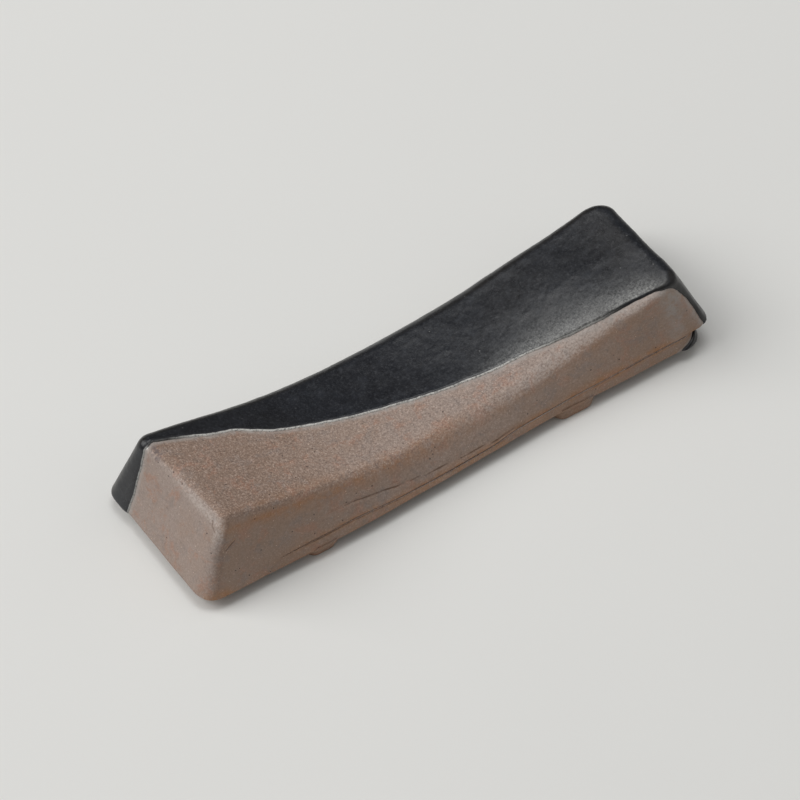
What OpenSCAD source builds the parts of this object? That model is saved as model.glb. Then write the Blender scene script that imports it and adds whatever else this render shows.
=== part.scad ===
// Brush rest in fired stoneware: a bar that is low in the middle and high at
// both ends, on four low feet, dipped at a slant in black glaze.
// The bar lies along X, its long sides face -Y and +Y, and it stands on Z = 0.

/* [Body] */
// Length of the bar along its foot
body_len = 72.4; // [64:0.2:84]
// Width of the bar along its foot
body_w = 21; // [18:0.2:26]
// Length of the top, which is shorter because both ends slope
top_len = 65; // [56:1:70]
// Width of the top, which is narrower because both sides slope
top_w = 15.6; // [14:0.2:18]
// Height of the ends above the feet
end_h = 10.8; // [10:0.2:14]
// How far the middle of the top lies below the ends
saddle_depth = 5.7; // [2:0.1:6]
// Shape of the saddle: 2 is a parabola, lower is more like a V
saddle_power = 1.9; // [1.6:0.1:3]
// How far the ridge of the left end is turned, far corner outwards
ridge_skew = 0.45; // [0:0.05:1]
// How much further the right end bulges out below its ridge
right_flare = 0.9; // [0:0.05:1.5]
// Radius of the upright corners, seen from above
corner_r = 1.3; // [0.8:0.1:2]
// Radius of the edges round the top
top_edge_r = 0.9; // [0.4:0.1:1.2]

/* [Base slab] */
// Thickness of the slab below the seam
slab_h = 1.6; // [1.2:0.1:2]
// How far the slab stands in from the body along the long sides
slab_in_side = 0.1; // [0:0.05:0.5]
// How far the slab stops short of the foot line at the right end
slab_in_right = 1.3; // [0.2:0.1:2]
// Radius of the edges at the seam and round the underside
seam_r = 0.35; // [0.1:0.05:0.5]

/* [Feet] */
// Height of the feet
foot_h = 1.5; // [1:0.1:2.5]
// Length of the two left feet
foot_left_len = 5; // [3:0.5:9]
// Length of the two right feet
foot_right_len = 6.5; // [3:0.5:9]
// Width of each foot
foot_w = 4; // [3:0.5:6]
// Distance of the left feet from the middle of the bar
foot_left_x = 19.4; // [10:0.2:24]
// Distance of the right feet from the middle of the bar
foot_right_x = 17; // [10:0.2:24]
// How far the feet stand in from the edge of the slab
foot_in = 0.1; // [0.1:0.05:2]

/* [Glaze] */
// Thickness of the glaze
glaze_t = 0.3; // [0.2:0.05:0.5]
// Turn of the bath's surface about the upright axis
dip_turn = -12; // [-20:1:-6]
// Lean of the bath's surface
dip_lean = -13; // [-20:1:-6]
// Distance of the bath's surface from the middle of the bar
dip_at = -3; // [-4:0.25:-1]
// How far from the middle line the glaze starts on the left end
left_strip_at = 6.4; // [5:0.2:7]

/* [Hidden] */

clay = [0.50, 0.43, 0.38];
clay_base = [0.47, 0.39, 0.33];
black = [0.12, 0.13, 0.15];

half_l = body_len / 2;
half_w = body_w / 2;
taper_x = 1 - top_len / body_len;
taper_y = 1 - top_w / body_w;
saddle_lo = slab_h + 0.6;      // below this height nothing sags
saddle_hi = end_h - 1.2;       // above this height all sags by the same amount
side_bow = 0.25;               // outward bow of the foot line at mid-length
mid_x = -0.3;                  // brings the middle of the whole length to X = 0
arc_n = 4;                     // steps in each rounded edge
mid_n = 24;                    // steps along the straight length

function clamp01(t) = max(0, min(1, t));

// Depth of the saddle at u, which runs from -1 to 1 along the bar
function drop(u) = saddle_depth * (1 - pow(min(1, abs(u)), saddle_power));

// Carries a point of the plain rounded box to its place on the bar.
// The long sides are straight from the foot line up to the saddle's edge;
// e is how far the right end bulges out below its ridge.
function place(p, e) =
    let (u = p[0] / half_l, v = p[1] / half_w, f = p[2] / end_h,
         h = p[2] - drop(u) * clamp01((p[2] - saddle_lo) / (saddle_hi - saddle_lo)),
         t = h / (end_h - drop(u)))
    [ mid_x + p[0] * (1 - taper_x * f)
        - ridge_skew * v * f * pow(max(0, -u), 4)
        + e * pow(max(0, u), 6) * sqrt(max(0, 1 - f)),
      p[1] * (1 - taper_y * t)
        + side_bow * v * (1 - u * u) * (1 - t),
      foot_h + h ];

function arc(cy, cz, r, a0, a1) =
    [ for (i = [0 : arc_n]) let (a = a0 + (a1 - a0) * i / arc_n)
        [cy + r * cos(a), cz + r * sin(a)] ];

// One section across the bar, from the near foot line over the top to the far one
function section(hw, z0, z1, r0, r1) = concat(
    arc(-hw + r0, z0 + r0, r0, 270, 180),
    [ for (i = [1 : 3]) [-hw, z0 + r0 + (z1 - r1 - z0 - r0) * i / 4] ],
    arc(-hw + r1, z1 - r1, r1, 180, 90),
    [ for (i = [1 : 5]) [(hw - r1) * (i / 3 - 1), z1] ],
    arc(hw - r1, z1 - r1, r1, 90, 0),
    [ for (i = [3 : -1 : 1]) [hw, z0 + r0 + (z1 - r1 - z0 - r0) * i / 4] ],
    arc(hw - r0, z0 + r0, r0, 0, -90));

// Places along the bar: [x, how far the end rounding has gone, 0 to 1]
function stations(xl, xr, r) = concat(
    [ for (i = [0 : arc_n]) let (a = 90 * i / arc_n) [xl + r - r * cos(a), sin(a)] ],
    [ for (i = [1 : mid_n - 1]) [xl + r + (xr - xl - 2 * r) * i / mid_n, 1] ],
    [ for (i = [arc_n : -1 : 0]) let (a = 90 * i / arc_n) [xr - r + r * cos(a), sin(a)] ]);

// Rounded bar from xl to xr and between heights z0 and z1, of half width hw
module bar(xl, xr, hw, z0, z1, rc, r0, r1, e) {
    st = stations(xl, xr, rc);
    rings = [ for (s = st)
        let (k = 1 - s[1],
             sec = section(hw - rc * k, z0 + r0 * k, z1 - r1 * k,
                           r0 * (0.25 + 0.75 * s[1]), r1 * (0.25 + 0.75 * s[1])))
        [ for (q = sec) place([s[0], q[0], q[1]], e) ] ];
    m = len(rings[0]);
    n = len(rings);
    mid_a = place([st[0][0], 0, (z0 + z1) / 2], e);
    mid_b = place([st[n - 1][0], 0, (z0 + z1) / 2], e);
    pts = concat([ for (r = rings) for (p = r) p ], [mid_a, mid_b]);
    ia = n * m;
    ib = n * m + 1;
    faces = concat(
        [ for (i = [0 : n - 2]) for (j = [0 : m - 1])
            let (a = i * m + j, b = i * m + (j + 1) % m)
            [a, b, b + m] ],
        [ for (i = [0 : n - 2]) for (j = [0 : m - 1])
            let (a = i * m + j, b = i * m + (j + 1) % m)
            [a, b + m, a + m] ],
        [ for (j = [0 : m - 1]) [ia, (j + 1) % m, j] ],
        [ for (j = [0 : m - 1]) [ib, (n - 1) * m + j, (n - 1) * m + (j + 1) % m] ]);
    polyhedron(points = pts, faces = faces, convexity = 4);
}

// The body above the seam; g is how far outside the clay the surface lies
module body_form(g = 0) {
    bar(-half_l - g, half_l + g, half_w + g, slab_h, end_h + g,
        corner_r + g, seam_r, top_edge_r + g, right_flare);
}

// The slab below the seam
module slab_form(g = 0) {
    bar(-half_l - g, half_l - slab_in_right + g, half_w - slab_in_side + g,
        0, slab_h, corner_r + g, seam_r, seam_r, 0);
}

// All that lies in the bath when the bar is dipped
module bath() {
    difference() {
        translate([mid_x, 0, foot_h])
            rotate([0, 0, dip_turn]) rotate([dip_lean, 0, 0])
                translate([-60, dip_at, -50]) cube([120, 60, 100]);
        translate([-60, -40, -10])
            cube([60 + mid_x - top_len / 2 + 0.8, 40 + left_strip_at, 40]);
    }
}

// Foot with round corners, flat below
module foot(l, w, h) {
    r = 1.6;
    linear_extrude(height = h) {
        square([l, w - 2 * r], center = true);
        square([l - 2 * r, w], center = true);
        for (sx = [-1, 1]) for (sy = [-1, 1])
            translate([sx * (l / 2 - r), sy * (w / 2 - r)]) circle(r = r, $fn = 48);
    }
}

foot_y = half_w - slab_in_side - foot_in - foot_w / 2;

module clay_body() {
    color(clay) body_form();
}

module base_slab() {
    color(clay_base) slab_form();
}

module foot_front_left() {
    color(clay_base) translate([mid_x - foot_left_x, -foot_y, 0]) foot(foot_left_len, foot_w, foot_h);
}

module foot_front_right() {
    color(clay_base) translate([mid_x + foot_right_x, -foot_y, 0]) foot(foot_right_len, foot_w, foot_h);
}

module foot_back_left() {
    color(clay_base) translate([mid_x - foot_left_x, foot_y, 0]) foot(foot_left_len, foot_w, foot_h);
}

module foot_back_right() {
    color(clay_base) translate([mid_x + foot_right_x, foot_y, 0]) foot(foot_right_len, foot_w, foot_h);
}

// Glaze over the body, down to just above the seam
module glaze_coat() {
    color(black) difference() {
        intersection() {
            body_form(glaze_t);
            bath();
            translate([-60, -40, foot_h + slab_h + seam_r + 0.05]) cube([120, 80, 40]);
        }
        body_form();
    }
}

// Glaze over the edge of the slab, between its two rounded edges
module glaze_skirt() {
    color(black) difference() {
        intersection() {
            slab_form(glaze_t);
            bath();
            translate([-60, -40, foot_h + seam_r + 0.05])
                cube([120, 80, slab_h - 2 * seam_r - 0.1]);
        }
        slab_form();
    }
}

clay_body();
base_slab();
foot_front_left();
foot_front_right();
foot_back_left();
foot_back_right();
glaze_coat();
glaze_skirt();
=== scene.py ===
import math
import bpy
import bmesh
import numpy as np
from mathutils import Matrix, Vector, noise


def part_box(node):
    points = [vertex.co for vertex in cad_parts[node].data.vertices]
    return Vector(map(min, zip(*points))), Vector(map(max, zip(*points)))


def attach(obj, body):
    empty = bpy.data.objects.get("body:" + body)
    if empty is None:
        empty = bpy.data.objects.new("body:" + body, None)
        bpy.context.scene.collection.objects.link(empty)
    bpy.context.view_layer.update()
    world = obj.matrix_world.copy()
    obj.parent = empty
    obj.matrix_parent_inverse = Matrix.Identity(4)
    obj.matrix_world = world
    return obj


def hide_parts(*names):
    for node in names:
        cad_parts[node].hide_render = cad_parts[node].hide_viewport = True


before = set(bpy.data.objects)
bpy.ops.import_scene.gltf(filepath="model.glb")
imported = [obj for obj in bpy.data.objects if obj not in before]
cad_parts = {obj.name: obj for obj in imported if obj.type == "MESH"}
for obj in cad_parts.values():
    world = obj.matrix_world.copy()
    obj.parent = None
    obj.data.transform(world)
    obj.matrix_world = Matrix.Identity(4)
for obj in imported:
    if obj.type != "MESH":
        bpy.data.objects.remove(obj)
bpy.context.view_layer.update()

MM = 0.001

# ---------------------------------------------------------------- the bar's form
# Sizes in millimetres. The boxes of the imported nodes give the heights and
# lengths, and the rest repeats the design's own rules.
b_lo, b_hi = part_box("clay_body")
s_lo, s_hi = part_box("base_slab")
f_lo, f_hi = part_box("foot_front_left")
FOOT_H = s_lo.z / MM
SLAB_H = (s_hi.z - s_lo.z) / MM
END_H = (b_hi.z - s_lo.z) / MM
TOP_TAPER = 1 - 65.0 / 72.4
SIDE_TAPER = 1 - 15.6 / 21.0
HALF_L = 36.2
HALF_W = 10.5
SLAB_RIGHT = HALF_L - 1.25
MID_X = -0.3
SADDLE = 5.7
SAD_POW = 1.9
SAD_LO = SLAB_H + 0.6
SAD_HI = END_H - 1.2
GLAZE_T = 0.27


def smooth(a, b, x):
    t = np.clip((np.asarray(x, float) - a) / (b - a), 0.0, 1.0)
    return t * t * (3 - 2 * t)


def bump(x, at, wide):
    return np.exp(-(((np.asarray(x, float) - at) / wide) ** 2))


def along(x, table):
    """Smooth curve through (x, value) pairs."""
    t = np.array(table, float)
    xs = np.linspace(t[0, 0], t[-1, 0], 400)
    ys = np.interp(xs, t[:, 0], t[:, 1])
    k = np.hanning(23)
    pad = np.r_[np.full(11, ys[0]), ys, np.full(11, ys[-1])]
    ys = np.convolve(pad, k / k.sum(), "valid")
    return np.interp(x, xs, ys)


# how far the glaze drew back from the bath's flat surface
DRAWN = ((-38, 0.1), (-32.8, 0.1), (-31.4, 0.22), (-28.5, 0.36), (-25.6, 0.46), (-23.9, 0.62), (-22.5, 1.02), (-21.3, 0.85), (-19.9, 0.52), (-18.4, 0.2),
         (-16.3, 0.15), (-10, 0.21), (-3, 0.2), (7.3, 0.16), (9.8, 0.08), (12.4, 0.2), (14, 0.17), (17.5, 0.05), (19, 0.0), (27, 0.04),
         (29.9, 0.0), (30.8, -0.3), (31.7, -0.35), (32.3, -0.05), (33.2, 0.60), (33.9, 0.70), (34.5, 0.45), (38, 0.32))
# height of the seam above the underside, along the near side
SEAM = ((-38, 1.5), (-22, 1.4), (-16, 1.4), (-12, 1.15), (-9, 0.86), (-5, 0.75), (0, 0.68), (5, 0.70), (8, 1.05), (11, 1.05),
        (15, 1.25), (22, 1.5), (27, 1.75), (31, 1.85), (38, 1.75))
# height of the hair crack above the seam, which it joins towards the right
CRACK = ((-24, 2.7), (-19, 2.35), (-17, 2.15), (-14, 1.9), (-11, 1.65), (-8.3, 1.33), (-5.4, 1.02), (-2.5, 0.88), (0.4, 0.70), (3.3, 0.54), (6, 0.42), (9, 0.25),
         (12, 0.05), (20, 0.0))
# how far the near foot line bulges out, beyond the plain bow
BULGE = ((-38, 0.10), (-30, 0.12), (-25, 0.18), (-20, 0.32), (-13, 0.34), (-8, 0.12), (-2, 0.02), (2, -0.15), (6, -0.27), (11, -0.47),
         (16, -0.45), (22, -0.25), (27, -0.10), (33, 0.10), (38, 0.15))
# unevenness of the top's two long edges, up being positive
LIFT_FAR = ((-38, 0.48), (-34.5, 0.55), (-31, 0.63), (-28, 0.50), (-25, 0.30), (-22, 0.10), (-19, -0.12), (-16, -0.27), (-11, -0.30), (-5, -0.24), (1, -0.15),
            (6, -0.08), (12, -0.06), (14.5, -0.04), (17.5, 0.12), (20.5, 0.26), (23.3, 0.26), (26, 0.06), (29, -0.22), (32, -0.38), (38, -0.40))
LIFT_NEAR = ((-38, 0.50), (-30, 0.50), (-20, 0.38), (-10, 0.05), (0, 0.0), (38, 0.0))


def seam_at(x):
    return along(x, SEAM)


def place(p, flare):
    """Points of the plain rounded box, carried to the bar's form. p is an N by 3 array in mm, heights from the underside."""
    x, y, z = p[:, 0], p[:, 1], p[:, 2]
    u, v = np.clip(x / HALF_L, -1.1, 1.1), y / HALF_W
    # the seam wanders a little along the bar
    w = np.clip(np.minimum(z / SLAB_H, (5.0 - z) / (5.0 - SLAB_H)), 0, 1)
    z = z + (seam_at(x) - SLAB_H) * w
    f = z / END_H
    drop = SADDLE * (1 - np.minimum(1, np.abs(u)) ** SAD_POW)
    h = z - drop * np.clip((z - SAD_LO) / (SAD_HI - SAD_LO), 0, 1)
    t = np.clip(h / (END_H - drop), 0, 1)
    X = x * (1 - TOP_TAPER * f) - (0.45 * v * f + 0.65 * np.maximum(0, v) * f ** 1.6 - 0.5 * np.maximum(0, -v) * f ** 2) * np.maximum(0, -u) ** 4
    X = X + (0.65 * np.maximum(0, u) ** 6 * np.maximum(0, 1 - f) + 0.3 * smooth(26, 34, x) * smooth(-0.1, -0.6, v)) * flare
    X = X - 0.2 * smooth(-30, -35, x) * (1 - f)
    Y = y * (1 - SIDE_TAPER * t) + 0.25 * v * (1 - u * u) * (1 - t)
    Y = Y - along(x, BULGE) * smooth(-0.3, -0.9, v) * (1 - t)
    Y = Y + (0.6 * smooth(-12, 6, x) + 0.35 * smooth(12, 20, x)) * smooth(31, 25, x) * smooth(-0.2, -1.0, v) * t * t
    side = smooth(-0.75, 0.75, v)
    Z = h + t * (along(x, LIFT_NEAR) * (1 - side) + along(x, LIFT_FAR) * side)
    # towards the right end the top is a little crowned
    w = np.clip((-0.48 - v) / 0.47, 0, 1)
    Z = Z + 0.40 * t * smooth(6, 20, x) * (1 - 0.7 * smooth(25, 33, x)) * (1 - w * w) * smooth(0.9, 0.0, v)
    return np.stack([X, Y, Z + FOOT_H], 1)


def arc(cy, cz, r, a0, a1, n):
    a = np.radians(np.linspace(a0, a1, n + 1))
    return np.stack([cy + r * np.cos(a), cz + r * np.sin(a)], 1)


def line(a, b, n):
    t = np.linspace(0, 1, n + 1)[1:-1, None]
    return np.array(a) * (1 - t) + np.array(b) * t


def section(hw, z0, z1, r0, r1, n):
    """Closed ring across the bar: near foot line, near side, top, far side, underside."""
    na, ns, nt, nb = n
    near0 = arc(-hw + r0, z0 + r0, r0, 270, 180, na)
    near1 = arc(-hw + r1, z1 - r1, r1, 180, 90, na)
    far1 = arc(hw - r1, z1 - r1, r1, 90, 0, na)
    far0 = arc(hw - r0, z0 + r0, r0, 0, -90, na)
    return np.concatenate([
        near0, line(near0[-1], near1[0], ns), near1, line(near1[-1], far1[0], nt),
        far1, line(far1[-1], far0[0], ns), far0, line(far0[-1], near0[0], nb)])


def bar(xl, xr, hw, z0, z1, rc, r0, r1, nx, n, corners, ncap=22, uv_k=0.0128):
    """Dense rounded bar. Returns plain points (before place), faces, and a UV for each face corner.
    corners gives, for each upright corner, its extra rounding in plan: end, side, radius at the foot and at the top."""
    ne = 9
    xs, sh = [], []
    for i in range(ne + 1):
        a = math.radians(90 * i / ne)
        xs.append(xl + rc - rc * math.cos(a)); sh.append(math.sin(a))
    for i in range(1, nx):
        xs.append(xl + rc + (xr - xl - 2 * rc) * i / nx); sh.append(1.0)
    for i in range(ne, -1, -1):
        a = math.radians(90 * i / ne)
        xs.append(xr - rc + rc * math.cos(a)); sh.append(math.sin(a))
    rings = []
    for x, s in zip(xs, sh):
        k = 1 - s
        r0x = r0(x) if callable(r0) else r0
        r1x = r1(x) if callable(r1) else r1
        z0x = z0(x) if callable(z0) else z0
        z1x = z1(x) if callable(z1) else z1
        hwx = hw(x) if callable(hw) else hw
        q = section(hwx - rc * k, z0x + r0x * k, z1x - r1x * k, r0x * (0.25 + 0.75 * s), r1x * (0.25 + 0.75 * s), n)
        rings.append(np.concatenate([np.full((len(q), 1), x), q], 1))
    m, nr = len(rings[0]), len(rings)
    P = np.concatenate(rings)
    ring = rings[nr // 2]
    dl = np.r_[0, np.cumsum(np.linalg.norm(np.diff(np.r_[ring, ring[:1]], axis=0), axis=1))]
    V = dl * uv_k + 0.012
    U = 0.5 + np.array(xs) * uv_k
    faces, uvs = [], []
    for i in range(nr - 1):
        for j in range(m):
            j2 = (j + 1) % m
            a, b = i * m + j, i * m + j2
            faces.append((a, a + m, b + m, b))
            uvs.append(((U[i], V[j]), (U[i + 1], V[j]), (U[i + 1], V[j + 1]), (U[i], V[j + 1])))
    v_top = V[-1] + 0.012
    for side, base in ((-1, 0), (1, (nr - 1) * m)):
        first = P[base:base + m]
        c = first.mean(0)
        c[1] = 0
        prev = list(range(base, base + m))
        off_u = 0.26 if side < 0 else 0.74
        zc, zr = first[:, 2].mean(), np.ptp(first[:, 2])

        def cap_uv(q, side=side, off_u=off_u, zc=zc, zr=zr):
            return (off_u + q[1] * uv_k * -side, v_top + (q[2] - zc + zr * 0.6) * uv_k)
        for k in range(1, ncap + 1):
            t = 1 - k / ncap
            if k < ncap:
                pts = c + (first - c) * t
                cur = list(range(len(P), len(P) + m))
                P = np.concatenate([P, pts])
            else:
                cur = [len(P)] * m
                P = np.concatenate([P, c[None]])
            for j in range(m):
                j2 = (j + 1) % m
                quad = [prev[j], prev[j2], cur[j2], cur[j]]
                if k == ncap:
                    quad = quad[:3]
                if side > 0:
                    quad = quad[::-1]
                faces.append(tuple(quad))
                uvs.append(tuple(cap_uv(P[q]) for q in quad))
            prev = cur
    P = P.copy()
    for ex, ey, ra, rb in corners:
        t = np.clip(P[:, 2] / END_H, 0, 1)
        R = ra + (rb - ra) * t
        end = xr if ex > 0 else -xl
        a = (P[:, 0] * ex - (end - R)) / R
        b = (P[:, 1] * ey - (HALF_W - R)) / R
        on = (a > 0) & (b > 0)
        # size of the square with corners of radius rc that passes through the point
        rho = np.minimum(rc / R, 0.999)
        c = 1 - rho
        a2, b2 = np.where(on, a, 1.0), np.where(on, b, 1.0)
        q2 = a2 * a2 + b2 * b2
        root = np.sqrt(np.maximum(c * c * (a2 + b2) ** 2 - q2 * (2 * c * c - rho * rho), 0))
        level = np.where(np.minimum(a2, b2) <= c * np.maximum(a2, b2), np.maximum(a2, b2), q2 / (c * (a2 + b2) + root))
        k = np.where(on, level / np.sqrt(q2), 1.0)
        P[:, 0] = np.where(on, ex * (end - R + a * k * R), P[:, 0])
        P[:, 1] = np.where(on, ey * (HALF_W - R + b * k * R), P[:, 1])
    return P, faces, uvs


def nz(pts, size, seed=0.0):
    """Smooth noise, about -1 to 1, with features of that size in mm."""
    k = 1.0 / size
    o = Vector((seed * 17.3, seed * 7.1, seed * 3.7))
    return np.array([noise.noise(Vector(q) * k + o) for q in pts])


def mesh_of(name, pts_mm, faces, uvs=None):
    me = bpy.data.meshes.new(name)
    me.from_pydata([tuple(q) for q in ((pts_mm + np.array([MID_X, 0, 0])) * MM)], [], faces)
    if uvs is not None:
        layer = me.uv_layers.new(name="OFBake")
        flat = [c for f in uvs for uv in f for c in uv]
        layer.data.foreach_set("uv", flat)
    me.update()
    return me


def normals_of(pts_mm, faces):
    me = bpy.data.meshes.new("tmp")
    me.from_pydata([tuple(q) for q in pts_mm], [], faces)
    me.update()
    out = np.zeros(len(me.vertices) * 3)
    me.vertex_normals.foreach_get("vector", out)
    bpy.data.meshes.remove(me)
    return out.reshape(-1, 3)


def attr(me, name, values):
    a = me.attributes.get(name) or me.attributes.new(name, "FLOAT", "POINT")
    a.data.foreach_set("value", np.asarray(values, np.float32))


def add(name, me, mat, node):
    o = bpy.data.objects.new(name, me)
    bpy.context.scene.collection.objects.link(o)
    me.materials.clear()
    me.materials.append(mat)
    for poly in me.polygons:
        poly.use_smooth = True
    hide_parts(node)
    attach(o, "root")
    return o


# ---------------------------------------------------------------- where the glaze lies
def dip(pts):
    """Distance inside the glaze's edge in mm, from the bath's flat surface, with the run-back at the left end and a slightly ragged line. pts are in mm in the frame."""
    x, y, z = pts[:, 0], pts[:, 1], pts[:, 2] - FOOT_H
    g = 0.2 * x + 0.95 * y - 0.23 * z + 3.07
    g -= along(x, DRAWN)
    # on the left end it stops almost upright
    g -= smooth(-31.5, -34.2, x) * np.clip(10.6 - z, 0, 11) * 0.16
    g += 0.35 * smooth(-32.2, -33.4, x)
    return g


def dip_slab(pts):
    """The same on the slab's near side, where the edge runs down and back from the body's corner."""
    x, y, z = pts[:, 0], pts[:, 1], pts[:, 2] - FOOT_H
    lip = (x - 31.0 - 2.4 * z) * 0.7
    return np.where(y < -4, np.maximum(dip(pts) - 0.6, lip), dip(pts))


def ragged(pts):
    return 0.10 * nz(pts, 2.6, 1) + 0.07 * nz(pts, 0.9, 2) + 0.035 * nz(pts, 0.4, 3)


# ---------------------------------------------------------------- clay
def crack_at(x):
    """Height of the long hair crack above the underside, on the near side."""
    return seam_at(x) + along(x, CRACK)


def scratch(x, z):
    """A short curved scratch by the left corner of the near side."""
    t = np.clip((x + 32.3) / 1.5, 0, 1)
    return smooth(-32.4, -32.15, x) * smooth(-30.65, -30.9, x) * np.exp(-((z - 6.30 - 0.75 * t * (1.7 - 0.7 * t)) / 0.17) ** 2)


def ticks(y, z):
    """Three short ticks on the left end, by its ridge."""
    out = 0
    for k, (yy, zz) in enumerate(((-6.5, 9.55), (-6.75, 9.0), (-7.25, 8.75))):
        e1, e2 = (y - yy) * 0.75 + (z - zz) * 0.66, (z - zz) * 0.75 - (y - yy) * 0.66
        out = out + np.exp(-(e1 / (0.50 - 0.08 * k)) ** 4 - (e2 / 0.17) ** 2)
    return out


def clay_relief(pts, nrm, plain, part):
    """Small irregularities of a pressed and wiped clay surface, in mm along the normal."""
    d = 0.09 * nz(pts, 15, 5) + 0.045 * nz(pts, 5.5, 6) + 0.016 * nz(pts, 1.7, 7) + 0.010 * nz(pts, 0.75, 8)
    grain = smooth(0.2, 0.8, nrm[:, 2])
    d += (0.006 + 0.012 * grain) * nz(pts, 0.42, 9)
    if part == "body":
        x, z = pts[:, 0], pts[:, 2] - FOOT_H
        near = smooth(-0.55, -0.85, nrm[:, 1])
        wob = 0.10 * nz(pts, 3.1, 11) + 0.05 * nz(pts, 0.9, 12)
        dist = np.abs(z - crack_at(x) - wob)
        here = near * smooth(-21, -14, x) * smooth(12, 9, x)
        here = here * (0.55 + 0.45 * smooth(-0.2, 0.25, nz(pts, 2.2, 13)))
        d -= 0.09 * here * np.exp(-(dist / 0.15) ** 2)
        d += 0.04 * here * np.exp(-((z - crack_at(x) + 0.32) / 0.22) ** 2)
        # a short scratch on the near side by the left corner
        d -= 0.09 * near * scratch(x, z)
        d += 0.05 * near * scratch(x, z - 0.2)
        d -= 0.07 * smooth(-30.5, -32, x) * smooth(-0.2, -0.5, nrm[:, 0]) * ticks(pts[:, 1], z)
        # pits
        for px, py, pz, r, dep in ((-36.2, 3.1, 5.4, 0.28, 0.16), (-33.4, -4.3, 6.9, 0.25, 0.12), (-8.2, -9.4, 5.8, 0.22, 0.14), (17.5, -9.0, 3.4, 0.2, 0.1),
                                   (-35.3, -5.2, 8.0, 0.3, 0.10), (-20.5, -2.8, 9.2, 0.25, 0.10), (26.5, -9.1, 6.0, 0.3, 0.08), (6.5, 9.3, 4.6, 0.25, 0.1)):
            rr = (pts[:, 0] - px) ** 2 + (pts[:, 1] - py) ** 2 + (pts[:, 2] - pz - FOOT_H + 1.5) ** 2
            d -= dep * np.exp(-rr / (r * r))
    return d


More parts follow.
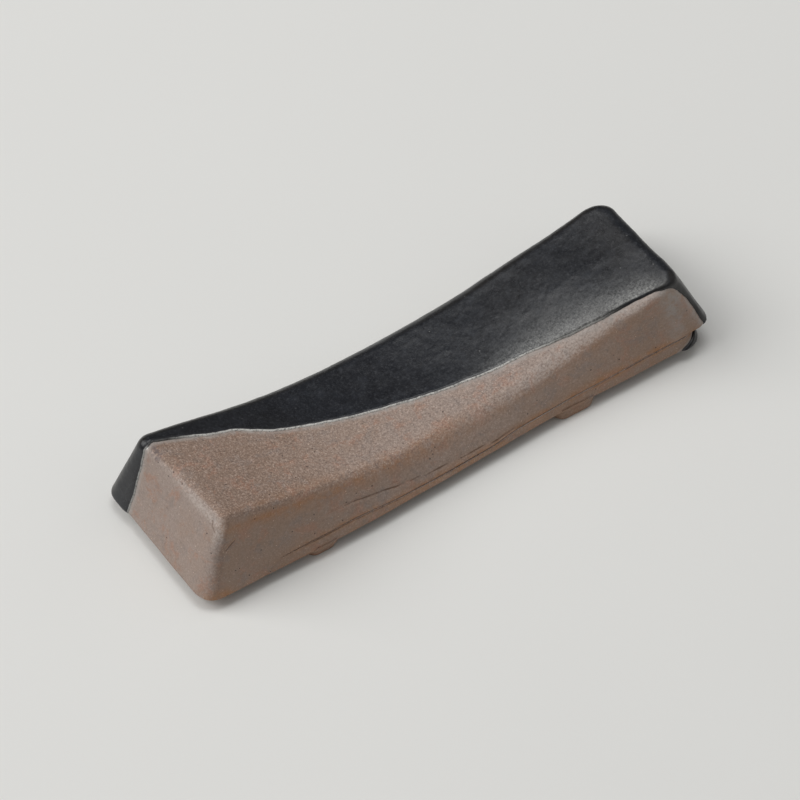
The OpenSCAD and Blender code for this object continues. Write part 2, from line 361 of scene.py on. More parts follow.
def clay_masks(me, pts, nrm, part):
    """What the clay's material reads: how near an edge a point is, and where the glaze ends."""
    x, y, z = pts[:, 0], pts[:, 1], pts[:, 2] - FOOT_H
    g = (dip_slab if part == "slab" else dip)(pts) + ragged(pts)
    u = np.clip(np.abs(x) / 33.5, 0, 1)
    top = END_H - SADDLE * (1 - u ** SAD_POW)
    below = top - z
    near_side = smooth(-0.45, -0.8, nrm[:, 1])
    rust = 0.65 * near_side * np.exp(-((below - 0.9) / 0.8) ** 2) * smooth(30, 20, x)
    rust += 0.8 * smooth(-0.1, -0.35, nrm[:, 1]) * np.exp(-((below - 0.35) / 0.45) ** 2) * smooth(-34, -31, x) * smooth(8, -10, x)
    rust += 0.45 * smooth(0.75, 0.95, nrm[:, 2]) * np.exp(-(((y + 7.3) / 0.9) ** 2)) * smooth(-34, -26, x)
    seam = np.abs(z - seam_at(x))
    rust += 1.1 * near_side * np.exp(-((z - seam_at(x) - 0.1) / 0.45) ** 2) * smooth(-28, -20, x)
    rust += 1.2 * near_side * scratch(x, z - 0.22)
    rust += 1.0 * near_side * bump(x, 25, 7) * np.exp(-((z - seam_at(x) - 0.3) / 0.6) ** 2)
    rust += 0.7 * near_side * np.exp(-((z - 0.1) / 0.5) ** 2)
    rust += 2.2 * np.exp(-(((x + 34.4) / 1.6) ** 2 + ((y + 10.2) / 1.7) ** 2 + ((z - 0.4) / 1.0) ** 2))
    if part == "foot":
        rust = rust * 0 + 0.55
    attr(me, "rust", np.clip(rust, 0, 1.3))
    # worn pale ridges round the left end
    # painted highlight along the ridges round the left end, where the light catches the rounded top edge
    left = smooth(-31, -33, x)
    ridge_highlight = np.exp(-((below - 0.30) / 0.65) ** 2) * left * smooth(-0.04, -0.22, nrm[:, 0]) * smooth(0.20, 0.45, nrm[:, 2])
    # painted highlight down the rounded corner between the left end and the near side
    corner = smooth(-0.35, -0.6, nrm[:, 0]) * smooth(-0.2, -0.45, nrm[:, 1]) * smooth(-0.9, -0.75, nrm[:, 1])
    painted_edge_highlight = 1.0 * ridge_highlight * (0.15 + 0.85 * smooth(2.5, -4.0, y)) + 0.15 * corner * left
    # painted highlight along the rounded near edge of the top, from the middle towards the right
    crease_highlight = smooth(0.45, 0.75, nrm[:, 2]) * smooth(-0.05, -0.35, nrm[:, 1]) * smooth(-5, 20, x)
    painted_edge_highlight += 0.65 * crease_highlight
    # painted highlight on the upper part of the corner between the left end and the near side
    painted_edge_highlight += 0.60 * bump(z, 8.6, 1.3) * smooth(-30, -32, x) * smooth(-6, -7.5, y) * smooth(-0.25, -0.5, nrm[:, 0]) * smooth(-0.05, -0.3, nrm[:, 1])
    attr(me, "painted_edge_highlight", np.clip(painted_edge_highlight, 0, 1))
    # browner towards the left of the top and on the near side, pale and pinkish on the left end and to the right
    up = smooth(0.35, 0.75, nrm[:, 2])
    end = smooth(0.35, 0.6, -nrm[:, 0]) * smooth(-29, -31.5, x)
    warm = up * (1.0 - 0.55 * smooth(-26, -10, x) - 0.45 * smooth(-10, 16, x)) + (1 - up) * 0.84
    warm = warm * (1 - end) + 0.05 * end
    attr(me, "warm", np.clip(warm, 0, 1))
    # painted shade on the rounding of the near-left corner, where it turns to face the near side; it rides in the same
    # attribute as the darker colour of the top's left part
    corner_painted_shade = smooth(-0.74, -0.56, nrm[:, 0]) * smooth(-0.04, -0.25, nrm[:, 0]) * smooth(-0.40, -0.62, nrm[:, 1]) * smooth(-29, -31, x)
    attr(me, "darker_tone_and_corner_shade", np.clip(up * (1 - end) * (1 - smooth(-28, -6, x)) + 0.9 * corner_painted_shade, 0, 1))
    # at the far left corner of the top: a chip that shows white, and a dark stain beside it
    chip = np.exp(-(((x + 33.3) / 0.30) ** 2 + ((y - 6.35) / 0.42) ** 2 + ((z - 10.7) / 0.75) ** 2)) if part == "body" else x * 0
    attr(me, "chip", chip)
    stain = np.exp(-(((x + 32.9) / 0.8) ** 2 + ((y - 4.9) / 1.25) ** 2 + ((z - 10.75) / 1.0) ** 2)) if part == "body" else x * 0
    attr(me, "stain", stain)
    attr(me, "edge_g", g)
    attr(me, "upward", np.clip(nrm[:, 2], 0, 1))
    attr(me, "near", near_side)
    line_d = np.zeros(len(pts))
    if part != "foot":
        line_d = near_side * np.exp(-(seam / 0.16) ** 2) * smooth(-26, -20, x)
        if part == "body":
            wob = 0.10 * nz(pts, 3.1, 11) + 0.05 * nz(pts, 0.9, 12)
            dist = np.abs(z - crack_at(x) - wob)
            here = near_side * smooth(-21, -12, x) * smooth(12, 9, x)
            line_d = np.maximum(line_d, 0.9 * here * np.exp(-(dist / 0.15) ** 2))
            line_d = np.maximum(line_d, near_side * scratch(x, z))
            line_d = np.maximum(line_d, 0.8 * smooth(-30.5, -32, x) * smooth(-0.2, -0.5, nrm[:, 0]) * ticks(y, z))
    attr(me, "crack", line_d)


# ---------------------------------------------------------------- materials
def nodes_for(name):
    mat = bpy.data.materials.new(name)
    mat.use_nodes = True
    nt = mat.node_tree
    nt.nodes.clear()
    out = nt.nodes.new("ShaderNodeOutputMaterial")
    bs = nt.nodes.new("ShaderNodeBsdfPrincipled")
    nt.links.new(bs.outputs[0], out.inputs[0])
    return mat, nt, bs


class Net:
    def __init__(self, nt):
        self.nt = nt
        tc = nt.nodes.new("ShaderNodeTexCoord")
        self.obj = tc.outputs["Object"]

    def link(self, value, socket):
        if isinstance(value, bpy.types.NodeSocket):
            self.nt.links.new(value, socket)
        else:
            socket.default_value = value

    def attr(self, name):
        n = self.nt.nodes.new("ShaderNodeAttribute")
        n.attribute_name = name
        return n.outputs["Fac"]

    def noise(self, size_mm, detail=3.0, rough=0.55, dist=0.0, offset=0.0, stretch=None):
        src = self.obj
        mp = self.nt.nodes.new("ShaderNodeMapping")
        self.nt.links.new(src, mp.inputs["Vector"])
        k = 1.0 / (size_mm * MM)
        sc = stretch or (1, 1, 1)
        mp.inputs["Scale"].default_value = (k * sc[0], k * sc[1], k * sc[2])
        mp.inputs["Location"].default_value = (offset, offset * 0.7, offset * 1.3)
        n = self.nt.nodes.new("ShaderNodeTexNoise")
        n.inputs["Scale"].default_value = 1.0
        n.inputs["Detail"].default_value = detail
        n.inputs["Roughness"].default_value = rough
        n.inputs["Distortion"].default_value = dist
        self.nt.links.new(mp.outputs[0], n.inputs["Vector"])
        return n.outputs["Fac"]

    def cells(self, size_mm, offset=0.0, feature="F1"):
        mp = self.nt.nodes.new("ShaderNodeMapping")
        self.nt.links.new(self.obj, mp.inputs["Vector"])
        k = 1.0 / (size_mm * MM)
        mp.inputs["Scale"].default_value = (k, k, k)
        mp.inputs["Location"].default_value = (offset, offset * 0.7, offset * 1.3)
        n = self.nt.nodes.new("ShaderNodeTexVoronoi")
        n.feature = feature
        n.inputs["Scale"].default_value = 1.0
        self.nt.links.new(mp.outputs[0], n.inputs["Vector"])
        return n.outputs["Distance"], n.outputs["Color"]

    def ramp(self, value, a, b, lo=0.0, hi=1.0, smooth_it=True):
        n = self.nt.nodes.new("ShaderNodeMapRange")
        n.interpolation_type = "SMOOTHSTEP" if smooth_it else "LINEAR"
        self.link(value, n.inputs["Value"])
        n.inputs["From Min"].default_value = a
        n.inputs["From Max"].default_value = b
        n.inputs["To Min"].default_value = lo
        n.inputs["To Max"].default_value = hi
        return n.outputs["Result"]

    def math(self, op, a, b=0.0):
        n = self.nt.nodes.new("ShaderNodeMath")
        n.operation = op
        self.link(a, n.inputs[0])
        self.link(b, n.inputs[1])
        return n.outputs[0]

    def mix(self, fac, a, b, mode="MIX"):
        n = self.nt.nodes.new("ShaderNodeMix")
        n.data_type = "RGBA"
        n.blend_type = mode
        n.clamp_factor = True
        self.link(fac, n.inputs["Factor"])
        for v, s in ((a, n.inputs[6]), (b, n.inputs[7])):
            if isinstance(v, bpy.types.NodeSocket):
                self.nt.links.new(v, s)
            else:
                s.default_value = (*v, 1.0)
        return n.outputs[2]

    def red(self, color):
        n = self.nt.nodes.new("ShaderNodeSeparateColor")
        self.nt.links.new(color, n.inputs[0])
        return n.outputs[0]

    def bump(self, height, strength, dist_mm, under=None):
        n = self.nt.nodes.new("ShaderNodeBump")
        n.inputs["Strength"].default_value = strength
        n.inputs["Distance"].default_value = dist_mm * MM
        self.link(height, n.inputs["Height"])
        if under is not None:
            self.nt.links.new(under, n.inputs["Normal"])
        return n.outputs[0]


def clay_material(name, dark=1.0):
    mat, nt, bs = nodes_for(name)
    n = Net(nt)
    k = dark
    broad = n.noise(11, 3, 0.5, offset=3.1)
    mid = n.noise(3.0, 4, 0.6, offset=9.4)
    fine = n.noise(0.30, 4, 0.65, offset=1.7)
    tiny = n.noise(0.17, 2, 0.6, offset=5.2)
    spark_d, spark_c = n.cells(0.36, 2.2)
    pit_d, pit_c = n.cells(0.55, 7.9)
    up = n.attr("upward")
    grain = n.ramp(up, 0.35, 0.9, 0.42, 1.0)
    warm = n.math("ADD", n.attr("warm"), n.ramp(mid, 0.25, 0.75, -0.22, 0.22))
    warm = n.math("ADD", warm, n.ramp(broad, 0.3, 0.7, -0.15, 0.15))
    col = n.mix(warm, (0.345 * k, 0.273 * k, 0.236 * k), (0.325 * k, 0.226 * k, 0.169 * k))
    # darker towards the left of the top, and painted shade on the rounding of the near-left corner
    col = n.mix(n.math("MULTIPLY", n.attr("darker_tone_and_corner_shade"), n.ramp(broad, 0.3, 0.7, 0.36, 0.60)), col, (0.200, 0.133, 0.100))
    # rust where iron came to the surface
    rust_n = n.math("MULTIPLY", n.attr("rust"), n.ramp(n.noise(1.6, 4, 0.65, offset=12.0), 0.3, 0.62, 0.25, 1.0))
    col = n.mix(n.math("MULTIPLY", rust_n, 0.66), col, (0.390, 0.190, 0.085))
    blot = n.ramp(n.noise(2.8, 5, 0.75, 0.4, 21.0), 0.51, 0.64, 0.0, 0.55)
    col = n.mix(blot, col, (0.385 * k, 0.205 * k, 0.138 * k))
    grey = n.ramp(n.noise(2.4, 5, 0.75, 0.3, 27.0), 0.52, 0.64, 0.0, 0.45)
    col = n.mix(grey, col, (0.255 * k, 0.215 * k, 0.195 * k))
    # grain: light and dark specks
    g1 = n.math("MULTIPLY", n.ramp(fine, 0.50, 0.66), grain)
    col = n.mix(n.math("MULTIPLY", g1, 0.37), col, (0.60, 0.46, 0.39))
    g2 = n.math("MULTIPLY", n.ramp(fine, 0.49, 0.34), grain)
    col = n.mix(n.math("MULTIPLY", g2, 0.42), col, (0.125, 0.088, 0.072))
    g3 = n.math("MULTIPLY", n.ramp(tiny, 0.54, 0.70), grain)
    col = n.mix(n.math("MULTIPLY", g3, 0.44), col, (0.66, 0.54, 0.47))
    g4 = n.math("MULTIPLY", n.ramp(tiny, 0.47, 0.30), grain)
    col = n.mix(n.math("MULTIPLY", g4, 0.42), col, (0.115, 0.080, 0.062))
    lit = n.math("MULTIPLY", n.ramp(spark_d, 0.20, 0.06), n.ramp(n.red(spark_c), 0.88, 0.93))
    col = n.mix(n.math("MULTIPLY", lit, 0.85), col, (0.85, 0.66, 0.52))
    drk = n.math("MULTIPLY", n.ramp(pit_d, 0.24, 0.10), n.ramp(n.red(pit_c), 0.93, 0.96))
    col = n.mix(n.math("MULTIPLY", drk, 0.8), col, (0.045, 0.032, 0.028))
    # painted highlights on the rounded edges: pale colour where the light catches the left-end ridges, the near top
    # crease and the near-left corner
    painted_edge_highlight_n = n.math("MULTIPLY", n.attr("painted_edge_highlight"), n.ramp(fine, 0.35, 0.65, 0.3, 1.0))
    col = n.mix(n.math("MULTIPLY", painted_edge_highlight_n, 0.68), col, (0.66, 0.59, 0.545))
    blue = n.math("MULTIPLY", n.attr("stain"), n.ramp(n.noise(0.9, 4, 0.7, offset=61.0), 0.40, 0.58))
    col = n.mix(n.ramp(blue, 0.10, 0.75, 0.0, 0.6), col, (0.115, 0.098, 0.104))
    # cracks
    cr = n.attr("crack")
    col = n.mix(n.math("MULTIPLY", n.ramp(cr, 0.38, 0.90), n.ramp(n.noise(0.9, 3, 0.6, offset=44.0), 0.32, 0.58, 0.42, 0.85)), col, (0.110, 0.060, 0.034))
    # where the glaze thinned to nothing the clay is grey
    eg = n.attr("edge_g")
    halo = n.math("MULTIPLY", n.ramp(eg, -0.75, -0.05), n.ramp(n.noise(0.8, 3, 0.6, offset=31.0), 0.3, 0.6, 0.35, 1.0))
    col = n.mix(n.math("MULTIPLY", halo, 0.60), col, (0.40, 0.38, 0.36))
    col = n.mix(n.ramp(n.attr("chip"), 0.35, 0.7), col, (0.86, 0.84, 0.80))
    nt.links.new(col, bs.inputs["Base Color"])
    ro = n.ramp(fine, 0.3, 0.7, 0.66, 0.86)
    ro = n.math("SUBTRACT", ro, n.math("MULTIPLY", n.attr("near"), 0.05))
    nt.links.new(ro, bs.inputs["Roughness"])
    bs.inputs["Specular IOR Level"].default_value = 0.35
    h = n.math("MULTIPLY", fine, grain)
    h = n.math("ADD", h, n.math("MULTIPLY", tiny, 0.55))
    h = n.math("SUBTRACT", h, n.math("MULTIPLY", drk, 0.9))
    b1 = n.bump(h, 0.85, 0.055)
    b2 = n.bump(n.noise(1.3, 4, 0.6, offset=15.0), 0.5, 0.05, b1)
    nt.links.new(b2, bs.inputs["Normal"])
    return mat


def glaze_material(name):
    mat, nt, bs = nodes_for(name)
    n = Net(nt)
    broad = n.noise(7.0, 3, 0.55, offset=4.4)
    mid = n.noise(1.4, 4, 0.6, 0.3, 8.1)
    fine = n.noise(0.36, 3, 0.65, offset=2.7)
    fleck_d, fleck_c = n.cells(0.62, 5.5)
    eg = n.attr("edge_g")
    col = n.mix(n.ramp(broad, 0.35, 0.65), (0.0085, 0.0096, 0.0132), (0.0130, 0.0146, 0.0190))
    col = n.mix(n.ramp(mid, 0.48, 0.70, 0.0, 0.6), col, (0.018, 0.021, 0.028))
    col = n.mix(n.ramp(fine, 0.54, 0.72, 0.0, 0.55), col, (0.046, 0.049, 0.056))
    col = n.mix(n.ramp(fine, 0.47, 0.32, 0.0, 0.6), col, (0.004, 0.004, 0.005))
    col = n.mix(n.ramp(n.noise(0.17, 2, 0.6, offset=64.0), 0.52, 0.72, 0.0, 0.5), col, (0.052, 0.055, 0.060))
    fl = n.math("MULTIPLY", n.ramp(fleck_d, 0.20, 0.05), n.ramp(n.red(fleck_c), 0.945, 0.965))
    col = n.mix(n.math("MULTIPLY", fl, 0.7), col, (0.20, 0.20, 0.19))
    # painted highlight beside the near edge of the top: a pale, finely speckled band standing in for the overhead
    # lamp's reflection
    tiny = n.noise(0.20, 2, 0.6, offset=51.0)
    spk = n.math("ADD", n.ramp(fine, 0.40, 0.64, 0.16, 0.60), n.ramp(tiny, 0.42, 0.64, 0.12, 0.52))
    painted_glaze_highlight = n.math("MULTIPLY", n.attr("painted_glaze_highlight"), spk)
    col = n.mix(n.math("MULTIPLY", painted_glaze_highlight, 0.85), col, (0.50, 0.50, 0.48))
    # on the edges the glaze ran thin and shows warm black
    col = n.mix(n.math("MULTIPLY", n.attr("thin"), 0.60), col, (0.016, 0.013, 0.010))
    # pale line along the dip edge
    rim = n.math("MULTIPLY", n.ramp(eg, 0.21, 0.12), n.ramp(n.noise(0.26, 3, 0.65, offset=33.0), 0.34, 0.54, 0.42, 1.0))
    rim = n.math("MULTIPLY", rim, n.attr("frost"))
    col = n.mix(n.math("MULTIPLY", rim, 0.95), col, (0.80, 0.79, 0.75))
    nt.links.new(col, bs.inputs["Base Color"])
    ro = n.ramp(mid, 0.3, 0.7, 0.27, 0.35)
    ro = n.math("ADD", ro, n.ramp(fine, 0.4, 0.75, 0.0, 0.08))
    ro = n.math("ADD", ro, n.math("MULTIPLY", rim, 0.3))
    nt.links.new(ro, bs.inputs["Roughness"])
    bs.inputs["Specular IOR Level"].default_value = 0.42
    h = n.math("ADD", n.math("MULTIPLY", n.noise(0.85, 3, 0.6, offset=17.0), 0.8), n.math("MULTIPLY", fine, 0.45))
    h = n.math("SUBTRACT", h, n.math("MULTIPLY", fl, 0.4))
    b1 = n.bump(h, 0.55, 0.045)
    nt.links.new(b1, bs.inputs["Normal"])
    return mat


CLAY = clay_material("clay")
CLAY_BASE = clay_material("clay_base", 0.94)
GLAZE = glaze_material("black_glaze")

# ---------------------------------------------------------------- body and slab
RC, R_SEAM, R_TOP = 1.3, 0.14, 0.9


def seam_round(x):
    return 0.35 + 0.30 * float(smooth(-26, -27.5, x)) - 0.30 + 0.08 * float(smooth(-27, -22, x)) + 0.45 * float(smooth(31.5, 34.5, x))


def joined(x):
    """At the left the body and the slab were smoothed into one: there the body's skin reaches down to the underside."""
    return float(smooth(-25.5, -28.5, x))


def body_foot(x):
    return (SLAB_H + 0.01) * (1 - joined(x)) + 0.03 * joined(x)


body_n = (7, 40, 64, 40)
P0, F0, UV0 = bar(-HALF_L, HALF_L, HALF_W, body_foot, END_H, RC, seam_round, lambda x: R_TOP + 0.35 * float(smooth(-5, 12, x) * smooth(31, 26, x)), 270, body_n,
                  ((1, 1, 2.2, 3.1), (1, -1, 1.6, 2.8), (-1, -1, 2.6, 1.3), (-1, 1, 1.7, 1.7)))
body_base = place(P0, 1.0)
body_nrm = normals_of(body_base, F0)
body_pts = body_base + body_nrm * clay_relief(body_base, body_nrm, P0, "body")[:, None]
me = mesh_of("clay_body_skin", body_pts, F0, UV0)
clay_masks(me, body_pts, body_nrm, "body")
add("clay_body_skin", me, CLAY, "clay_body")

slab_n = (6, 10, 40, 40)
P1, F1, UV1 = bar(-HALF_L + 0.07, SLAB_RIGHT, lambda x: HALF_W - 0.02 - 0.05 * joined(x), 0.0, SLAB_H - 0.01, RC, 0.35,
                  lambda x: 0.05 + 0.08 * float(smooth(-27, -22, x)), 240, slab_n,
                  ((1, 1, 2.6, 2.6), (1, -1, 2.3, 2.3), (-1, -1, 2.9, 2.8), (-1, 1, 1.9, 1.9)), ncap=8)
slab_base = place(P1, 0.0)
slab_nrm = normals_of(slab_base, F1)
slab_pts = slab_base + slab_nrm * clay_relief(slab_base, slab_nrm, P1, "slab")[:, None]
me = mesh_of("base_slab_skin", slab_pts, F1, UV1)
clay_masks(me, slab_pts, slab_nrm, "slab")
add("base_slab_skin", me, CLAY_BASE, "base_slab")


# ---------------------------------------------------------------- glaze
def glaze_mesh(name, base, nrm, faces, uvs, z_lo=None, seed=1.0, rule=dip):
    """The part of a skin inside the bath, cut along the dip line, raised by the glaze's thickness and closed below."""
    g = rule(base) + ragged(base)
    me = bpy.data.meshes.new(name)
    me.from_pydata([tuple(q) for q in base], [], faces)
    layer = me.uv_layers.new(name="OFBake")
    layer.data.foreach_set("uv", [c for f in uvs for uv in f for c in uv])
    bm = bmesh.new()
    bm.from_mesh(me)
    bpy.data.meshes.remove(me)
    bm.verts.ensure_lookup_table()
    lp = bm.verts.layers.float_vector.new("p")
    ln = bm.verts.layers.float_vector.new("n")
    for v, p, q, gg in zip(bm.verts, base, nrm, g):
        v[lp] = Vector(p)
        v[ln] = Vector(q)
        v.co = Vector((p[0], p[1] * 0.7 + p[2], gg))
    up = Vector((0, 0, 1))
    bmesh.ops.bisect_plane(bm, geom=bm.verts[:] + bm.edges[:] + bm.faces[:], plane_co=(0, 0, 0.0), plane_no=up, clear_inner=True)
    for level in (0.04, 0.10, 0.20, 0.40):
        bmesh.ops.bisect_plane(bm, geom=bm.verts[:] + bm.edges[:] + bm.faces[:], plane_co=(0, 0, level), plane_no=up)
    pos = np.array([v[lp] for v in bm.verts], float)
    nn = np.array([v[ln] for v in bm.verts], float)
    nn /= np.linalg.norm(nn, axis=1)[:, None]
    gg = np.array([v.co.z for v in bm.verts])
    # on the left end the edge of the coat thins out more gently
    left = smooth(-0.3, -0.6, nn[:, 0]) * smooth(-28, -31, pos[:, 0])
    w = np.clip(gg / (0.45 + 0.75 * left), 0, 1)
    prof = np.sqrt(np.clip(1 - (1 - w) ** 2, 0, 1))
    # a bead where the glaze drew up at its edge, and gentle pooling elsewhere
    bead = 0.03 * (1 - left) * np.exp(-((gg - 0.35) / 0.28) ** 2)
    pool = 1 + 0.16 * nz(pos, 6.0, 40 + seed) + 0.10 * nz(pos, 2.2, 41 + seed)
    skin = 0.010 * nz(pos, 0.8, 42 + seed) + 0.006 * nz(pos, 0.45, 43 + seed)
    fade = 1.0
    if z_lo is not None:
        zz = pos[:, 2] - z_lo(pos)
        fade = np.sqrt(np.clip(1 - (1 - np.clip(zz / 0.35, 0, 1)) ** 2, 0, 1))
    th = (GLAZE_T * pool + bead) * prof * fade + skin * prof * fade
    outer = pos + nn * th[:, None]
    inner = pos - nn * 0.04
    nv = len(pos)
    F, UV = [], []
    ul = bm.loops.layers.uv["OFBake"]
    index = {v: i for i, v in enumerate(bm.verts)}
    rim = []
    for f in bm.faces:
        idx = [index[l.vert] for l in f.loops]
        uvf = [tuple(l[ul].uv) for l in f.loops]
        F.append(tuple(idx)); UV.append(tuple(uvf))
        F.append(tuple(i + nv for i in idx[::-1])); UV.append(tuple((0.004 + 0.003 * (k % 2), 0.004 + 0.003 * (k // 2 % 2)) for k in range(len(idx))))
        for l in f.loops:
            if len(l.edge.link_faces) == 1:
                a, b = index[l.vert], index[l.link_loop_next.vert]
                rim.append((b, a, a + nv, b + nv))
    for r in rim:
        F.append(r); UV.append(((0.004, 0.004), (0.007, 0.004), (0.007, 0.007), (0.004, 0.007)))
    bm.free()
    allp = np.concatenate([outer, inner])
    out = mesh_of(name, allp, F, UV)
    attr(out, "edge_g", np.r_[gg, gg])
    # sharply curved places, where the glaze pulled thin
    sides = np.abs(nn)
    curv = 4 * np.minimum(sides[:, 1] * sides[:, 2], 0.25) + 3 * np.minimum(sides[:, 0] * sides[:, 2], 0.25)
    thin = np.clip(curv - 0.55, 0, 1)
    attr(out, "thin", np.r_[thin, thin])
    # the dip edge is frosted pale on the top, and clean and dark towards the right
    frost = (0.55 * smooth(19, 12, pos[:, 0]) + 0.45 * smooth(26.5, 21, pos[:, 0])) * (0.12 + 0.88 * smooth(-31.0, -26, pos[:, 0]) + 0.40 * left)
    attr(out, "frost", np.r_[frost, frost])
    # where the painted highlight lies: a band beside the dip edge on the right part of the top, on upward faces,
    # standing in for the overhead lamp's reflection
    edge = gg - 0.14 - 0.16 * smooth(21, 26, pos[:, 0])
    width = 0.45 + 1.15 * smooth(2, 18, pos[:, 0]) - 0.45 * smooth(21, 31, pos[:, 0])
    painted_glaze_highlight = smooth(-0.10, 0.10, edge) * np.exp(-np.maximum(edge, 0) / width) * smooth(1, 21, pos[:, 0]) * smooth(32.2, 29.5, pos[:, 0]) * smooth(0.6, 0.9, nn[:, 2])
    attr(out, "painted_glaze_highlight", np.r_[painted_glaze_highlight, painted_glaze_highlight])
    return out


FLOOR0 = np.array([body_foot(x) + 0.1 - 0.07 * float(smooth(-27.5, -26.5, x) * smooth(-21.5, -22.5, x)) for x in P0[:, 0]])
keep = [k for k, f in enumerate(F0) if (P0[list(f), 2] > FLOOR0[list(f)]).all()]
me = glaze_mesh("glaze_coat_skin", body_pts, body_nrm, [F0[k] for k in keep], [UV0[k] for k in keep],
                z_lo=lambda p: FOOT_H + (seam_at(p[:, 0]) + 0.1) * (1 - smooth(-20.5, -22.5, p[:, 0])), seed=1)
add("glaze_coat_skin", me, GLAZE, "glaze_coat")

keep = [k for k, f in enumerate(F1) if P1[list(f), 2].min() > 0.18 and P1[list(f), 2].max() < SLAB_H - 0.10
        and P1[list(f), 0].min() > -28.2]
me = glaze_mesh("glaze_skirt_skin", slab_pts, slab_nrm, [F1[k] for k in keep], [UV1[k] for k in keep], seed=5, rule=dip_slab)
add("glaze_skirt_skin", me, GLAZE, "glaze_skirt")


# ---------------------------------------------------------------- feet
def foot(name, node, seed):
    """A low pad of clay pressed on by hand: round corners, a fillet up to the slab and a flat, worn underside."""
    lo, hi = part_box(node)
    cx, cy = (lo.x + hi.x) / 2 / MM - MID_X, (lo.y + hi.y) / 2 / MM
    hl, hw, h = (hi.x - lo.x) / 2 / MM, (hi.y - lo.y) / 2 / MM, (hi.z - lo.z) / MM
    r = 1.6
    nseg = 10
    outline = []
    for sx, sy, a0 in ((1, 1, 0), (-1, 1, 90), (-1, -1, 180), (1, -1, 270)):
        for i in range(nseg + 1):
            a = math.radians(a0 + 90 * i / nseg)
            outline.append((sx * (hl - r) + r * math.cos(a), sy * (hw - r) + r * math.sin(a)))
    # even spacing round the outline
    pts = np.array(outline)
    cl = np.r_[0, np.cumsum(np.linalg.norm(np.diff(np.r_[pts, pts[:1]], axis=0), axis=1))]
    m = int(cl[-1] / 0.2)
    s = np.linspace(0, cl[-1], m, endpoint=False)
    ring = np.stack([np.interp(s, cl, np.r_[pts[:, 0], pts[0, 0]]), np.interp(s, cl, np.r_[pts[:, 1], pts[0, 1]])], 1)
    rings = []
    heights = []
    # from the middle of the underside out, up the side, then into the slab
    for t in np.linspace(0.06, 0.94, 12):
        rings.append(ring * t); heights.append(0.0)
    for a in np.linspace(10, 90, 7):
        k = math.radians(a)
        rings.append(ring * (0.94 + 0.06 * math.sin(k))); heights.append(0.28 * (1 - math.cos(k)))
    for z in np.linspace(0.4, h - 0.35, 8):
        rings.append(ring * 1.0); heights.append(z)
    for a in np.linspace(15, 90, 6):
        k = math.radians(a)
        rings.append(ring * (1.0 + 0.05 * (1 - math.cos(k)))); heights.append(h - 0.35 + 0.75 * math.sin(k))
    V = [(cx, cy, 0.0)]
    for q, z in zip(rings, heights):
        V += [(cx + a, cy + b, z) for a, b in q]
    V.append((cx, cy, heights[-1]))
    F, UV = [], []
    sc = 0.05

    def uvp(q):
        return (0.3 + (q[0] - cx) * sc, 0.3 + (q[1] - cy) * sc)
    for j in range(m):
        f = (0, 1 + (j + 1) % m, 1 + j)
        F.append(f); UV.append(tuple(uvp(V[i]) for i in f))
    per = cl[-1]
    for i in range(len(rings) - 1):
        for j in range(m):
            a = 1 + i * m + j
            b = 1 + i * m + (j + 1) % m
            f = (a, b, b + m, a + m)
            F.append(f)
            if i < 12:
                UV.append(tuple(uvp(V[q]) for q in f))
            else:
                u0, u1 = 0.02 + 0.9 * j / m, 0.02 + 0.9 * (j + 1) / m
                v0, v1 = 0.62 + 0.012 * (i - 12), 0.62 + 0.012 * (i - 11)
                UV.append(((u0, v0), (u1, v0), (u1, v1), (u0, v1)))
    last = 1 + (len(rings) - 1) * m
    for j in range(m):
        f = (last + j, last + (j + 1) % m, len(V) - 1)
        F.append(f); UV.append(((0.95, 0.95), (0.96, 0.95), (0.96, 0.96)))
    V = np.array(V)
    nrm = normals_of(V, F)
    # its outer face is wiped flush with the slab's side, and its ends slope
    sg = -1.0 if cy < 0 else 1.0
    q = place(np.stack([V[:, 0], np.full(len(V), sg * (HALF_W - 0.02)), np.full(len(V), 0.55)], 1), 0.0)
    out = np.clip((V[:, 1] - cy) * sg / hw, 0, 1)
    V[:, 1] += (q[:, 1] + sg * 0.02 - (cy + sg * hw)) * out * np.clip(V[:, 2] / (0.8 * h), 0.45, 1)
    low = 1 - np.clip(V[:, 2] / h, 0, 1)
    ends = np.clip((V[:, 0] - cx) / hl, -1, 1)
    V[:, 0] -= hl * (0.10 + 0.22 * (ends > 0)) * np.abs(ends) ** 2 * np.sign(ends) * low
    side = np.clip(V[:, 2] / 0.5, 0, 1) * np.clip((h - V[:, 2]) / 0.4, 0.1, 1)
    d = (0.14 * nz(V, 2.4, 60 + seed) + 0.06 * nz(V, 0.9, 61 + seed)) * side
    V2 = V + nrm * d[:, None]
    V2[:, 2] = np.maximum(V2[:, 2], 0.0)
    me = mesh_of(name, V2, F, UV)
    clay_masks(me, V2, nrm, "foot")
    add(name, me, CLAY_BASE, node)


for k, node in enumerate(("foot_front_left", "foot_front_right", "foot_back_left", "foot_back_right")):
    foot(node + "_skin", node, k * 3.0)

# ---------------------------------------------------------------- floor, light, camera
AZ, EL, ROLL = math.radians(34.26), math.radians(52.15), math.radians(0.22)
SC = 0.96
D_CAM = 800.0 * SC
TARGET = Vector((-62.0 * SC + MID_X, -88.276 * SC, 141.192 * SC + FOOT_H)) * MM
F_PX = math.exp(8.975)
fwd = Vector((math.cos(EL) * math.sin(AZ), math.cos(EL) * math.cos(AZ), -math.sin(EL)))
right = Vector((math.cos(AZ), -math.sin(AZ), 0))
up = right.cross(fwd)
r2 = right * math.cos(ROLL) + up * math.sin(ROLL)
u2 = -right * math.sin(ROLL) + up * math.cos(ROLL)
cam_d = bpy.data.cameras.new("camera")
cam = bpy.data.objects.new("camera", cam_d)
bpy.context.scene.collection.objects.link(cam)
m = Matrix((r2, u2, -fwd)).transposed().to_4x4()
m.translation = TARGET - fwd * (D_CAM * MM)
cam.matrix_world = m
cam_d.sensor_width = 36
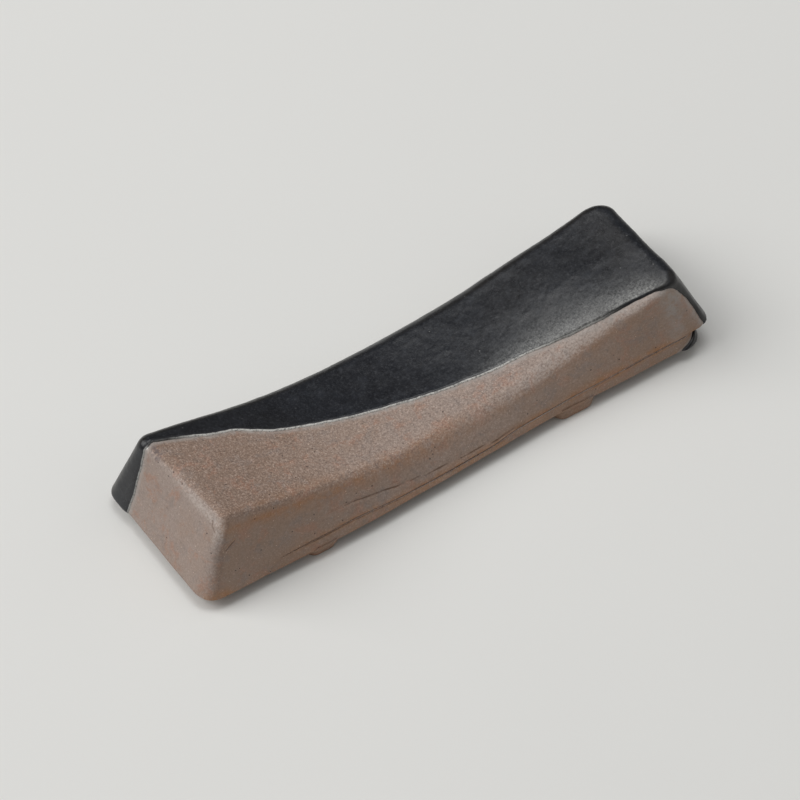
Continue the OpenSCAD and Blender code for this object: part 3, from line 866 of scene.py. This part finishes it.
cam_d.lens = F_PX / 800 * 36
cam_d.clip_start, cam_d.clip_end = 0.01, 20
bpy.context.scene.camera = cam

fm = bpy.data.meshes.new("floor")
bm = bmesh.new()
bmesh.ops.create_grid(bm, x_segments=2, y_segments=2, size=3.0)
bm.to_mesh(fm)
bm.free()
floor = bpy.data.objects.new("floor", fm)
bpy.context.scene.collection.objects.link(floor)
fmat, fnt, fbs = nodes_for("floor")
fn = Net(fnt)
fcol = fn.mix(fn.ramp(fn.noise(60, 2, 0.5), 0.3, 0.7), (0.800, 0.797, 0.772), (0.808, 0.805, 0.780))
fnt.links.new(fcol, fbs.inputs["Base Color"])
fbs.inputs["Roughness"].default_value = 0.75
fbs.inputs["Specular IOR Level"].default_value = 0.2
fm.materials.append(fmat)


def area(name, direction, elevation, distance, size, power, color=(1, 1, 1)):
    """A soft box; direction is degrees turned from the camera's left towards the back."""
    left = -right
    back = Vector((math.sin(AZ), math.cos(AZ), 0))
    a, e = math.radians(direction), math.radians(elevation)
    d = (left * math.cos(a) + back * math.sin(a)) * math.cos(e) + Vector((0, 0, math.sin(e)))
    ld = bpy.data.lights.new(name, "AREA")
    ld.shape = "SQUARE"
    ld.size = size
    ld.energy = power
    ld.color = color
    o = bpy.data.objects.new(name, ld)
    bpy.context.scene.collection.objects.link(o)
    o.location = d * distance
    o.rotation_mode = "QUATERNION"
    o.rotation_quaternion = (-d).to_track_quat("-Z", "Y")
    return o


area("key", 3, 43, 1.2, 0.85, 8.0)
area("overhead", 85, 79, 1.1, 0.56, 3.5)
area("fill_front", -42, 44, 1.3, 1.2, 2.05)
area("fill_right", 172, 46, 1.3, 1.6, 2.3)

world = bpy.data.worlds.new("world")
bpy.context.scene.world = world
world.use_nodes = True
bg = world.node_tree.nodes["Background"]
bg.inputs[0].default_value = (1.0, 1.0, 1.0, 1)
bg.inputs[1].default_value = 0.125

vs = bpy.context.scene.view_settings
vs.view_transform = "Standard"
vs.look = "None"
vs.exposure = 0.0
vs.gamma = 1.0
